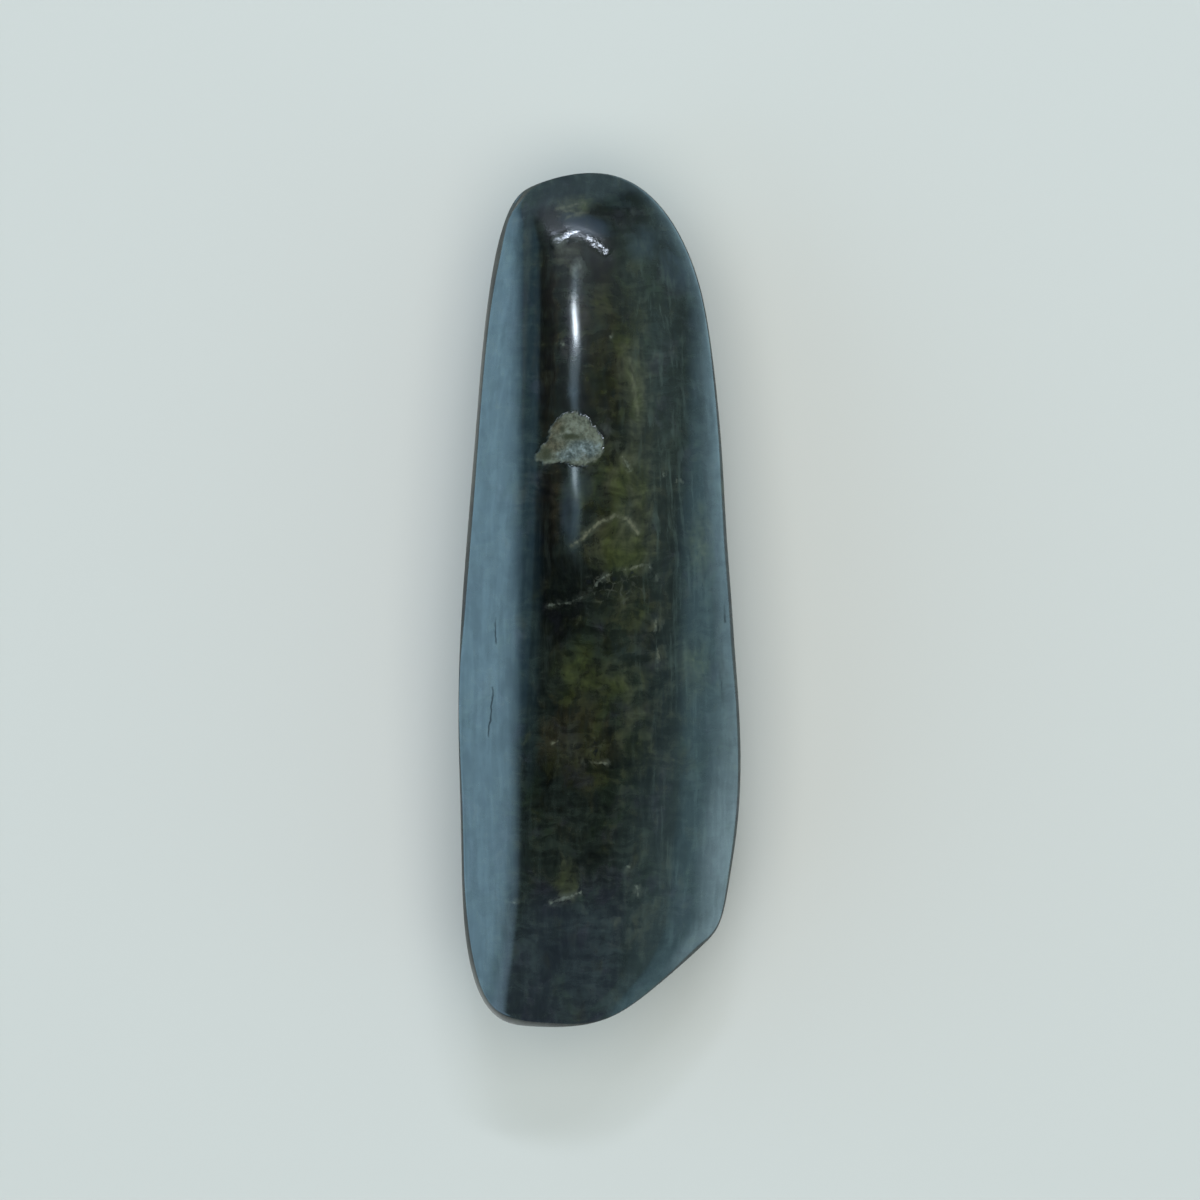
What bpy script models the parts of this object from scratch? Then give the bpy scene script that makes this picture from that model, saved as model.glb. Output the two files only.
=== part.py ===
"""A polished freeform of diopside, about 66 x 22 x 15 mm, lying on its flat back.

Frame: +Z up, +Y along the stone towards its narrow end, +X towards its rounded flank.
The origin is in the middle of the flat back, on the surface that the stone rests on.

The stone is a block cut into a grid whose vertices are laid on the stone's surface. Three
closed curves seen from above set its form: the outline at its widest level, the edge of the
gently domed crown above it and the edge of the flat back below it. Rounded rims run from the
outline to the other two. Left of a straight ridge the crown is ground off as a flat facet.
"""

import math

import bmesh
import bpy
import numpy as np

NAME = "diopside_stone"
MM = 0.001

# Closed curves seen from above, in millimetres, anticlockwise from the right side.
OUTLINE = [
    (10.1, 0.0), (9.75, 4.8), (9.4, 11.0), (8.7, 18.5), (7.9, 23.4), (6.4, 27.7), (4.1, 31.0),
    (1.7, 32.55), (-2.0, 32.8), (-5.0, 31.95), (-6.5, 30.85), (-7.75, 27.8), (-8.75, 22.0),
    (-9.5, 13.5), (-10.1, 6.0), (-10.6, -1.0), (-10.85, -9.0), (-10.65, -18.6), (-10.3, -26.0),
    (-9.3, -30.05), (-7.9, -31.9), (-5.7, -32.55), (-2.0, -32.5), (1.2, -31.65), (4.65, -29.25),
    (8.05, -26.35), (9.25, -24.7), (9.95, -21.6), (10.65, -16.5), (10.75, -9.5), (10.4, -4.3),
]
CROWN_EDGE = [
    (3.7, 0.0), (3.4, 10.0), (2.8, 18.5), (2.1, 22.8), (0.8, 25.7), (-0.7, 27.0), (-2.1, 27.5),
    (-3.5, 27.3), (-4.6, 27.4), (-5.6, 28.6), (-6.6, 29.9), (-7.5, 27.3), (-8.4, 22.0), (-9.2, 13.5),
    (-9.8, 5.0), (-10.45, -8.5), (-10.3, -18.5), (-9.9, -26.0), (-9.0, -29.8), (-7.6, -31.45),
    (-5.4, -31.85), (-2.2, -31.45), (0.4, -30.0), (2.2, -27.4), (3.5, -21.0), (4.1, -10.0),
]
BACK_EDGE = [
    (3.2, 0.0), (2.6, 13.0), (0.4, 22.0), (-2.6, 24.0), (-4.9, 19.0), (-5.7, 5.0),
    (-6.1, -10.0), (-5.0, -22.5), (-1.6, -25.3), (2.0, -21.0), (3.5, -10.0),
]

# Crown: a dome that is tight across the stone and very shallow along it.
CROWN_TOP = 15.0
CROWN_X = -1.9
CROWN_Y = -6.0
CROWN_RADIUS_ACROSS = 20.0
CROWN_RADIUS_ALONG = 150.0

# Ridge between the crown and the flat left facet. Near the broad end it bends to the left.
RIDGE_X = -6.05
RIDGE_SOFTNESS = 0.6
RIDGE_BEND_START = -22.0
RIDGE_BEND = 0.16
RIDGE_BEND_SOFTNESS = 2.5
FACET_SLOPE = 0.8

# Waist, the stone's widest level: its height at angles round the outline, and the length over
# which it is rounded. The rim above it starts at the crown's own slope; the powers set how
# late the rims above and below it bend.
WAIST_LEVELS = [
    (0, 9.9), (30, 9.25), (60, 8.45), (90, 8.75), (115, 9.25), (132, 9.15), (150, 10.0), (180, 10.7),
    (205, 10.45), (222, 10.1), (240, 11.3), (260, 12.1), (280, 11.8), (300, 11.05), (320, 9.65),
    (340, 9.6),
]
WAIST_ROUNDING = 0.22
RIM_POWER = 1.8
BACK_RIM_POWER = 2.2

# Angles round the curves, in degrees, of the block's upright edges.
TOP_RIGHT, TOP_LEFT = 55.0, 130.0
LOW_LEFT, LOW_RIGHT = 224.0, 318.0

# Grid of the block: slices across the facet, across the crown, along the stone and up it.
FACET_SLICES = 4
CROWN_SLICES = 12
LENGTH_SLICES = 50
HEIGHT_SLICES = 16

# Rough pit in the crown, where the polish did not reach: its edge seen from above, its depth,
# and how far above the crown the body that cuts it reaches.
PIT_EDGE = [
    (0.2, 11.4), (0.0, 12.5), (-0.7, 13.3), (-2.1, 14.2), (-3.0, 13.8), (-3.8, 12.8), (-4.4, 11.6),
    (-4.75, 10.6), (-3.4, 10.45), (-2.0, 10.4), (-0.5, 10.5),
]
PIT_DEPTH = 0.22
PIT_OVERCUT = 1.15
PIT_CUTTER_TOP = 1.0

EDGE = 1 - 1e-6


def soft_excess(value, softness):
    """max(value, 0) with its corner rounded over the given length."""
    return softness * np.logaddexp(0.0, value / softness)


def mix(start, end, share):
    """Points a share of the way from start to end."""
    return start + (end - start) * np.asarray(share)[..., None]


def spline_bends(knots, values):
    """Second derivatives of the periodic cubic spline through the values, and the knot steps."""
    count = len(knots)
    steps = np.diff(np.append(knots, knots[0] + 2 * math.pi))
    system = np.zeros((count, count))
    target = np.zeros(count)
    for i in range(count):
        before, after = steps[i - 1], steps[i]
        following = (i + 1) % count
        system[i, i - 1] += before
        system[i, i] += 2 * (before + after)
        system[i, following] += after
        target[i] = 6 * ((values[following] - values[i]) / after - (values[i] - values[i - 1]) / before)
    return np.linalg.solve(system, target), steps


def smooth_round(knots, values):
    """Smooth function of an angle that passes through the values at the knots, all the way round."""
    bends, steps = spline_bends(knots, values)

    def value_at(angle):
        turned = (angle - knots[0]) % (2 * math.pi) + knots[0]
        i = np.searchsorted(knots, turned, side="right") - 1
        j = (i + 1) % len(knots)
        v = (turned - knots[i]) / steps[i]
        u = 1 - v
        bend = ((u**3 - u) * bends[i] + (v**3 - v) * bends[j]) * steps[i] ** 2 / 6
        return u * values[i] + v * values[j] + bend

    return value_at


def closed_curve(points):
    """Smooth closed curve through the points, as a function of the angle round its middle."""
    points = np.array(points)
    middle = (points.max(axis=0) + points.min(axis=0)) / 2
    half_size = (points.max(axis=0) - points.min(axis=0)) / 2
    scaled = (points - middle) / half_size
    knots = np.arctan2(scaled[:, 1], scaled[:, 0]) % (2 * math.pi)
    order = np.argsort(knots)
    reach = smooth_round(knots[order], np.hypot(scaled[:, 0], scaled[:, 1])[order])

    def curve(angle):
        direction = np.stack([np.cos(angle), np.sin(angle)], axis=-1)
        return middle + reach(angle)[..., None] * direction * half_size

    return curve


outline = closed_curve(OUTLINE)
crown_edge = closed_curve(CROWN_EDGE)
back_edge = closed_curve(BACK_EDGE)
pit_edge = closed_curve(PIT_EDGE)
waist_level = smooth_round(*np.array(WAIST_LEVELS).T * [[math.pi / 180], [1]])


def ridge_x(y):
    """Where the ridge runs, seen from above."""
    return RIDGE_X - RIDGE_BEND * soft_excess(RIDGE_BEND_START - y, RIDGE_BEND_SOFTNESS)


def crown_height(x, y):
    """Height of the top before its rim is rounded: the dome, with the facet ground off."""
    past_ridge = soft_excess(ridge_x(y) - x, RIDGE_SOFTNESS)
    across = (x + past_ridge - CROWN_X) ** 2 / (2 * CROWN_RADIUS_ACROSS)
    along = (y - CROWN_Y) ** 2 / (2 * CROWN_RADIUS_ALONG)
    return CROWN_TOP - across - along - FACET_SLOPE * past_ridge


def ridge_end(inside, outside):
    """Angle, in degrees, at which the crown's edge crosses the ridge between two angles."""
    for _ in range(30):
        middle = (inside + outside) / 2
        x, y = crown_edge(np.radians(middle))
        if x > ridge_x(y):
            inside = middle
        else:
            outside = middle
    return middle


# Ends of the ridge on the curves, and its place across the block, from -1 to 1.
TOP_RIDGE = ridge_end(90.0, 140.0)
LOW_RIDGE = ridge_end(270.0, 215.0)
RIDGE_LINE = 2 * FACET_SLICES / (FACET_SLICES + CROWN_SLICES) - 1


def wall_angles(x, y):
    """Angles round the curves of the block's left, right, low and top walls, level with x and y."""
    line = [-1.0, RIDGE_LINE, 1.0]
    along = (y + 1) / 2
    left = LOW_LEFT + (TOP_LEFT - LOW_LEFT) * along
    right = LOW_RIGHT - 360 + (TOP_RIGHT - LOW_RIGHT + 360) * along
    low = np.interp(x, line, [LOW_LEFT, LOW_RIDGE, LOW_RIGHT])
    top = np.interp(x, line, [TOP_LEFT, TOP_RIDGE, TOP_RIGHT])
    return [np.radians(angle) for angle in (left, right, low, top)]


def fill_curve(curve, x, y):
    """Lay the block's top or bottom inside a curve, in two sheets that meet along the ridge."""
    left, right, low, top = (curve(angle) for angle in wall_angles(x, y))
    corners = {}
    for degrees in (LOW_LEFT, LOW_RIDGE, LOW_RIGHT, TOP_LEFT, TOP_RIDGE, TOP_RIGHT):
        corners[degrees] = curve(np.full_like(x, math.radians(degrees)))

    along = (y + 1) / 2
    ridge = mix(corners[LOW_RIDGE], corners[TOP_RIDGE], along)
    low_shift = ridge_x(corners[LOW_RIDGE][:, 1]) * (1 - along)
    top_shift = ridge_x(corners[TOP_RIDGE][:, 1]) * along
    ridge[:, 0] += ridge_x(ridge[:, 1]) - low_shift - top_shift

    facet = x < RIDGE_LINE
    across = np.where(facet, (x + 1) / (RIDGE_LINE + 1), (x - RIDGE_LINE) / (1 - RIDGE_LINE))

    def pick(on_facet, on_crown):
        return np.where(facet[:, None], on_facet, on_crown)

    low_start = pick(corners[LOW_LEFT], corners[LOW_RIDGE])
    low_end = pick(corners[LOW_RIDGE], corners[LOW_RIGHT])
    top_start = pick(corners[TOP_LEFT], corners[TOP_RIDGE])
    top_end = pick(corners[TOP_RIDGE], corners[TOP_RIGHT])
    flat_sheet = mix(mix(low_start, low_end, across), mix(top_start, top_end, across), along)
    return mix(low, top, along) + mix(pick(left, ridge), pick(ridge, right), across) - flat_sheet


def rim(angle, level):
    """Plan and height on a wall: level is 0 at the waist, 1 at the crown and -1 at the back."""
    inner, outer = crown_edge(angle), outline(angle)
    width = np.linalg.norm(outer - inner, axis=1)
    edge = crown_height(inner[:, 0], inner[:, 1])
    beside = mix(inner, outer, np.full(len(angle), 0.01))
    fall = (edge - crown_height(beside[:, 0], beside[:, 1])) / 0.01
    waist = waist_level(angle)

    climb = np.abs(level) ** 2
    rounding = np.minimum(WAIST_ROUNDING / width, 0.35)
    rounded_climb = (np.hypot(climb, rounding) - rounding) / (np.hypot(1.0, rounding) - rounding)
    crown_plan = mix(outer, inner, rounded_climb)
    crown_side = edge - fall * (1 - climb) - (edge - fall - waist) * (1 - climb) ** RIM_POWER

    turn = np.abs(level) * math.pi / 2
    back_plan = mix(back_edge(angle), outer, np.cos(turn) ** (2 / BACK_RIM_POWER))
    back_side = waist * (1 - np.sin(turn) ** (2 / BACK_RIM_POWER))

    above = level > 0
    plan = np.where(above[:, None], crown_plan, back_plan)
    return plan, np.where(above, crown_side, back_side)


def lay_on_stone(block):
    """Move the block's vertices, given from -1 to 1 each way, onto the stone, in millimetres."""
    x, y, z = block.T
    placed = np.zeros_like(block)

    on_top = z > EDGE
    plan = fill_curve(crown_edge, x[on_top], y[on_top])
    placed[on_top, :2] = plan
    placed[on_top, 2] = crown_height(plan[:, 0], plan[:, 1])

    on_back = z < -EDGE
    placed[on_back, :2] = fill_curve(back_edge, x[on_back], y[on_back])

    on_wall = ~(on_top | on_back)
    x, y, z = block[on_wall].T
    left, right, low, top = wall_angles(x, y)
    angle = np.select([x < -EDGE, x > EDGE, y < -EDGE], [left, right, low], top)
    placed[on_wall, :2], placed[on_wall, 2] = rim(angle, z)
    return placed


def slice_block(bm, axis, places):
    """Cut the block across one axis at each of the given places."""
    normal = [0.0, 0.0, 0.0]
    normal[axis] = 1.0
    for place in places:
        point = [place * n for n in normal]
        geometry = bm.verts[:] + bm.edges[:] + bm.faces[:]
        bmesh.ops.bisect_plane(bm, geom=geometry, dist=1e-6, plane_co=point, plane_no=normal)


def even_cuts(start, end, count):
    """Places of the cuts that part a stretch into equal slices."""
    return [start + (end - start) * i / count for i in range(1, count)]


def stone_mesh():
    """Block primitive, sliced into its grid and laid on the stone's surface."""
    bm = bmesh.new()
    bmesh.ops.create_cube(bm, size=2.0)
    slice_block(bm, 0, even_cuts(-1.0, RIDGE_LINE, FACET_SLICES) + [RIDGE_LINE])
    slice_block(bm, 0, even_cuts(RIDGE_LINE, 1.0, CROWN_SLICES))
    slice_block(bm, 1, even_cuts(-1.0, 1.0, LENGTH_SLICES))
    slice_block(bm, 2, even_cuts(-1.0, 1.0, HEIGHT_SLICES))
    placed = lay_on_stone(np.array([vertex.co[:] for vertex in bm.verts])) * MM
    back = [face for face in bm.faces if all(v.co.z < -EDGE for v in face.verts)]
    for vertex, position in zip(bm.verts, placed):
        vertex.co = position
    bmesh.ops.dissolve_faces(bm, faces=back, use_verts=True)
    bmesh.ops.recalc_face_normals(bm, faces=bm.faces[:])
    mesh = bpy.data.meshes.new(NAME)
    bm.to_mesh(mesh)
    bm.free()
    mesh.shade_smooth()
    return mesh


def diopside_material():
    """Dark green polished stone."""
    material = bpy.data.materials.new("diopside")
    material.use_nodes = True
    shader = material.node_tree.nodes["Principled BSDF"]
    shader.inputs["Base Color"].default_value = (0.014, 0.022, 0.013, 1.0)
    shader.inputs["Roughness"].default_value = 0.12
    shader.inputs["Metallic"].default_value = 0.0
    shader.inputs["IOR"].default_value = 1.68
    return material


def pit_cutter():
    """Ball whose lower half is laid on the floor of the pit and whose upper half clears the crown."""
    bm = bmesh.new()
    bmesh.ops.create_uvsphere(bm, u_segments=32, v_segments=16, radius=1.0)
    x, y, z = np.array([vertex.co[:] for vertex in bm.verts]).T
    middle = pit_edge(np.array([0.0, math.pi])).mean(axis=0)
    share = np.hypot(x, y) * PIT_OVERCUT
    plan = mix(middle, pit_edge(np.arctan2(y, x)), share)
    floor = -PIT_DEPTH * (1 - share**4)
    height = np.where(z < 0, floor, floor.max() + PIT_CUTTER_TOP * z)
    level = crown_height(plan[:, 0], plan[:, 1]) + height
    for vertex, flat, lifted in zip(bm.verts, plan, level):
        vertex.co = (flat[0] * MM, flat[1] * MM, lifted * MM)
    bmesh.ops.recalc_face_normals(bm, faces=bm.faces[:])
    mesh = bpy.data.meshes.new("pit_cutter")
    bm.to_mesh(mesh)
    bm.free()
    cutter = bpy.data.objects.new("pit_cutter", mesh)
    cutter.hide_render = True
    cutter.display_type = "WIRE"
    return cutter


def main():
    for old in list(bpy.data.objects):
        bpy.data.objects.remove(old, do_unlink=True)
    parts = bpy.data.collections.new("diopside")
    cutters = bpy.data.collections.new("cutters")
    for collection in (parts, cutters):
        bpy.context.scene.collection.children.link(collection)

    stone = bpy.data.objects.new(NAME, stone_mesh())
    stone.data.materials.append(diopside_material())
    parts.objects.link(stone)
    cutter = pit_cutter()
    cutters.objects.link(cutter)
    cut = stone.modifiers.new("pit", "BOOLEAN")
    cut.operation = "DIFFERENCE"
    cut.solver = "EXACT"
    cut.object = cutter


main()
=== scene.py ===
"""The looks of a polished freeform of diopside: its fine surface, its stone and the studio.

Lengths on the stone are in millimetres until they become vertices. The stone's form is the
same three closed curves, dome, ridge and facet as in the solid, on a much finer grid. Two values
differ: the waist is rounded less, and the ridge bends a little more near the lower end.
"""

import math

import bpy
import numpy as np
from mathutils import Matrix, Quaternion, Vector, noise


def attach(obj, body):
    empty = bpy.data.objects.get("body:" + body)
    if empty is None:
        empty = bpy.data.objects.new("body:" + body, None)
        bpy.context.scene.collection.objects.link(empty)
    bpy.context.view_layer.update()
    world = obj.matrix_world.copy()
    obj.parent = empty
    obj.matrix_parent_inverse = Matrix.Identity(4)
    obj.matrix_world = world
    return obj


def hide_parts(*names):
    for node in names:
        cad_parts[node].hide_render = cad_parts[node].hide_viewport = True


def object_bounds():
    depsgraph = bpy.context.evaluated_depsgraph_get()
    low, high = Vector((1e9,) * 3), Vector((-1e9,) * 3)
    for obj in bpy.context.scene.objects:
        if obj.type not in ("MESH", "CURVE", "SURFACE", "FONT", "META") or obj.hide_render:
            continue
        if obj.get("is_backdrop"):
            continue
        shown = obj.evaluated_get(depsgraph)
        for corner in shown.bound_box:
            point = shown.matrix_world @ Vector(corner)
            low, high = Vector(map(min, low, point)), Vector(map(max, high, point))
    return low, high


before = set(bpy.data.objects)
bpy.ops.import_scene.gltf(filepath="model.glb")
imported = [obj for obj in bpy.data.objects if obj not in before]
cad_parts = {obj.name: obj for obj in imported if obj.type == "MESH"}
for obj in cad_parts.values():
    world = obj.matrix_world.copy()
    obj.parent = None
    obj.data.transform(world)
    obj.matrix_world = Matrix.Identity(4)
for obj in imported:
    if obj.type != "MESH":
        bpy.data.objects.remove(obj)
CAD_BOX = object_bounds()

NODE = "diopside_stone"
MM = 0.001

# Closed curves seen from above, anticlockwise from the right side.
OUTLINE = [
    (10.1, 0.0), (9.75, 4.8), (9.4, 11.0), (8.7, 18.5), (7.9, 23.4), (6.4, 27.7), (4.1, 31.0),
    (1.7, 32.55), (-2.0, 32.8), (-5.0, 31.95), (-6.5, 30.85), (-7.75, 27.8), (-8.75, 22.0),
    (-9.5, 13.5), (-10.1, 6.0), (-10.6, -1.0), (-10.85, -9.0), (-10.65, -18.6), (-10.3, -26.0),
    (-9.3, -30.05), (-7.9, -31.9), (-5.7, -32.55), (-2.0, -32.5), (1.2, -31.65), (4.65, -29.25),
    (8.05, -26.35), (9.25, -24.7), (9.95, -21.6), (10.65, -16.5), (10.75, -9.5), (10.4, -4.3),
]
CROWN_EDGE = [
    (3.7, 0.0), (3.4, 10.0), (2.8, 18.5), (2.1, 22.8), (0.8, 25.7), (-0.7, 27.0), (-2.1, 27.5),
    (-3.5, 27.3), (-4.6, 27.4), (-5.6, 28.6), (-6.6, 29.9), (-7.5, 27.3), (-8.4, 22.0),
    (-9.2, 13.5), (-9.8, 5.0), (-10.45, -8.5), (-10.3, -18.5), (-9.9, -26.0), (-9.0, -29.8),
    (-7.6, -31.45), (-5.4, -31.85), (-2.2, -31.45), (0.4, -30.0), (2.2, -27.4), (3.5, -21.0),
    (4.1, -10.0),
]
BACK_EDGE = [
    (3.2, 0.0), (2.6, 13.0), (0.4, 22.0), (-2.6, 24.0), (-4.9, 19.0), (-5.7, 5.0), (-6.1, -10.0),
    (-5.0, -22.5), (-1.6, -25.3), (2.0, -21.0), (3.5, -10.0),
]

# Crown, ridge and facet.
CROWN_TOP = 15.0
CROWN_X = -1.9
CROWN_Y = -6.0
CROWN_RADIUS_ACROSS = 20.0
CROWN_RADIUS_ALONG = 150.0
RIDGE_X = -6.05
RIDGE_SOFTNESS = 0.6
RIDGE_BEND_START = -22.0
RIDGE_BEND = 0.21
RIDGE_BEND_SOFTNESS = 2.5
FACET_SLOPE = 0.8

# Widest level at angles round the outline, its rounding and the powers of the two rims.
WAIST_LEVELS = [
    (0, 9.9), (30, 9.25), (60, 8.45), (90, 8.75), (115, 9.25), (132, 9.15), (150, 10.0),
    (180, 10.7), (205, 10.45), (222, 10.1), (240, 11.3), (260, 12.1), (280, 11.8), (300, 11.05),
    (320, 9.65), (340, 9.6),
]
WAIST_ROUNDING = 0.12
MOST_WAIST_ROUNDING = 0.35
RIM_POWER = 1.8
BACK_RIM_POWER = 2.2

# Share of the rim's width over which the crown's slope at its edge is measured.
SLOPE_STEP = 0.01

# Angles round the curves, in degrees, of the block's upright edges.
TOP_RIGHT, TOP_LEFT = 55.0, 130.0
LOW_LEFT, LOW_RIGHT = 224.0, 318.0

# Fine grid of the block.
FACET_SLICES = 22
CROWN_SLICES = 78
LENGTH_SLICES = 400
HEIGHT_SLICES = 44

# Rough pit in the crown: its edge seen from above, and how deep and how uneven it is.
PIT_EDGE = [
    (0.2, 11.4), (0.0, 12.5), (-0.7, 13.3), (-2.1, 14.2), (-3.0, 13.8), (-3.8, 12.8), (-4.4, 11.6),
    (-4.75, 10.6), (-3.4, 10.45), (-2.0, 10.4), (-0.5, 10.5),
]
PIT_DEPTH = 0.22
PIT_RAGGED = 0.10
PIT_RAGGED_GRAIN = 1.7
PIT_CRUMBS = 0.07
PIT_CRUMBS_GRAIN = 2.4
PIT_SURROUNDINGS = 1.5

# Heights of the two waves that hand polishing leaves.
WAVE_HEIGHTS = (0.010, 0.005)

# The fine surface is drawn in by this share, to stay within the solid's own size.
FINE_SHRINK = 0.0003

# Markings start at this level and fade in over this height, in millimetres.
MARKED_FROM = 3.0
MARKED_FADE = 3.0

# An ellipse fades out up to this many radii from its middle. A line fades beyond its ends and at
# its sides over these lengths, in millimetres.
SPOT_REACH = 1.5
LINE_END_FADE = 0.15
LINE_SIDE_FADE = 0.4
FAR_FROM_LINES = 9.0

# Markings on the top: soft ellipses given by x, y, two radii, tilt in degrees and strength.
MARKED_PLACES = {
    "olive": [
        (0.2, 22.6, 0.8, 1.8, 0, 0.75), (1.6, 19.4, 0.9, 1.0, 0, 0.8),
        (2.5, 16.4, 0.65, 2.4, 8, 1.0), (0.9, 18.4, 2.0, 6.0, 0, 0.35),
        (1.5, 9.2, 1.2, 2.3, 0, 0.85), (3.0, 8.2, 0.8, 2.4, 0, 0.8), (1.6, 3.9, 2.2, 1.8, 0, 1.0),
        (1.0, 8.5, 3.0, 4.2, 0, 0.4), (-1.5, -5.8, 1.9, 2.2, 10, 0.65),
        (-0.3, -6.4, 2.4, 2.6, 0, 0.45), (1.4, -6.4, 0.8, 0.8, 0, 0.9),
        (-1.7, 30.4, 1.3, 0.6, 0, 0.8), (-2.5, -21.2, 0.8, 1.6, 0, 0.5),
        (-1.2, -11.4, 2.3, 2.6, 0, 0.45), (2.4, -9.6, 1.4, 3.4, 0, 0.4),
        (1.9, -0.8, 2.3, 2.3, 0, 0.4), (7.6, 4.2, 0.9, 2.6, 0, 0.7),
        (7.2, -5.2, 1.1, 2.0, 0, 0.8),
    ],
    "warm": [
        (-4.1, 20.5, 0.9, 7.0, 0, 1.0), (-3.9, 7.2, 1.0, 4.0, 0, 1.0),
        (0.9, 17.5, 2.0, 4.0, 0, 0.8), (-1.5, -10.8, 3.0, 3.4, 0, 0.9),
        (1.8, 6.0, 3.0, 4.5, 0, 0.7), (2.6, -1.2, 2.6, 3.0, 0, 0.6),
    ],
    "dark": [
        (-2.9, 0.2, 2.0, 3.2, 0, 1.0), (-4.1, 20.5, 0.7, 7.0, 0, 1.0),
        (-4.2, 4.5, 0.8, 8.0, 0, 0.9), (1.2, 1.2, 2.6, 0.9, 0, 0.7),
        (-3.0, -13.4, 2.0, 2.8, 0, 0.65), (0.3, 6.9, 1.0, 1.2, 0, 0.7),
        (0.6, -3.6, 1.8, 0.8, 0, 0.6), (2.2, 21.6, 1.0, 2.4, 0, 0.5),
        (0.3, 21.0, 1.0, 4.5, 0, 0.6), (0.4, 16.4, 0.9, 1.6, 0, 0.8),
        (1.5, 14.2, 1.0, 1.6, 0, 0.8), (-4.3, 24.6, 0.5, 1.4, 0, 0.9),
        (0.1, 25.0, 0.9, 1.2, 0, 0.8), (3.8, 13.0, 0.9, 1.6, 0, 0.75),
        (1.9, 15.8, 0.8, 1.2, 0, 0.5), (-2.1, 31.2, 1.2, 0.8, 0, 0.8),
        (-2.5, -26.2, 2.6, 1.6, 0, 0.45),
    ],
    # Paler stone; the ellipse at -2.9, 26.4, just under the arc highlight, is instead a painted
    # glow of that highlight.
    "pale": [
        (2.9, 12.5, 1.4, 10.0, 0, 0.9), (2.6, 4.4, 1.6, 4.0, 0, 0.6),
        (3.4, -9.0, 2.2, 7.0, 0, 0.45), (1.9, 8.6, 1.6, 2.4, 0, 0.6),
        (-2.9, 26.4, 1.1, 0.9, 0, 1.0), (2.6, -24.0, 2.4, 3.0, 0, 0.4),
        (-2.6, -21.4, 0.8, 1.8, 0, 0.7),
    ],
    "slate": [
        (9.6, 2.0, 2.6, 24.0, 0, 1.0), (9.4, -14.0, 2.6, 14.0, 0, 1.0),
        (1.0, -27.0, 9.0, 6.0, 0, 0.8), (4.6, 19.0, 1.9, 7.0, 0, 0.9),
        (6.3, 3.5, 1.6, 4.0, 0, 0.6), (6.0, -3.5, 2.0, 3.5, 0, 0.5),
        (1.6, -3.9, 2.6, 0.8, 0, 0.7),
    ],
    "tan": [
        (-3.7, 11.8, 0.8, 0.9, 0, 0.8), (-3.3, 13.0, 0.5, 0.7, 0, 0.7),
        (-1.2, 11.0, 0.5, 0.4, 0, 0.4),
    ],
    "shade": [
        (-2.1, 12.4, 0.9, 0.27, -6, 1.0), (-2.9, 12.9, 0.3, 0.3, 0, 0.6),
        (-4.3, 11.0, 0.8, 0.7, 0, 0.9),
    ],
    # Painted glint of the highlight where it crosses the pit.
    "glint": [
        (-1.3, 11.4, 1.2, 0.7, 0, 1.0), (-2.4, 11.0, 0.9, 0.5, 0, 0.8),
    ],
    # Painted bluish reflection: haze round the streak and arc highlights, and the bluish sheen
    # along the top end and the top right.
    "blue": [
        (-1.0, 28.7, 2.0, 0.8, -12, 1.1), (3.4, 27.4, 1.5, 1.5, 0, 0.7),
        (5.6, 25.4, 1.1, 2.2, 20, 0.65), (7.0, 22.4, 0.8, 2.4, 0, 0.35),
        (1.4, 30.6, 1.8, 0.9, -8, 0.4), (-2.3, 6.6, 0.8, 2.8, 0, 0.65),
        (-1.2, 8.6, 0.8, 1.2, 0, 0.6), (-2.0, 15.8, 0.6, 1.2, 0, 0.5),
    ],
    # Painted glow: pale haze of the highlights where they spread over the polish, near the arc and
    # beside the pit.
    "painted_glow": [
        (-1.7, 25.2, 0.5, 0.9, 0, 0.6), (-2.6, 26.4, 0.8, 0.6, 0, 0.25),
        (-3.2, 27.4, 0.7, 0.5, 35, 0.6), (0.5, 13.0, 0.7, 0.4, -30, 0.3),
        (1.4, 11.6, 0.7, 0.7, 0, 0.22), (2.0, 29.6, 1.0, 0.6, 20, 0.2),
    ],
    "fibrous": [
        (4.3, 16.0, 2.2, 12.0, 0, 1.0), (5.4, 2.0, 2.6, 14.0, 0, 0.9),
        (5.6, -12.0, 3.2, 14.0, 0, 0.5),
    ],
    "tangled": [
        (0.9, 0.9, 2.2, 1.4, 0, 1.0), (-0.8, 4.2, 1.4, 1.0, 0, 0.4),
        (-1.0, -11.5, 2.4, 1.6, 0, 0.6),
    ],
}

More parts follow.
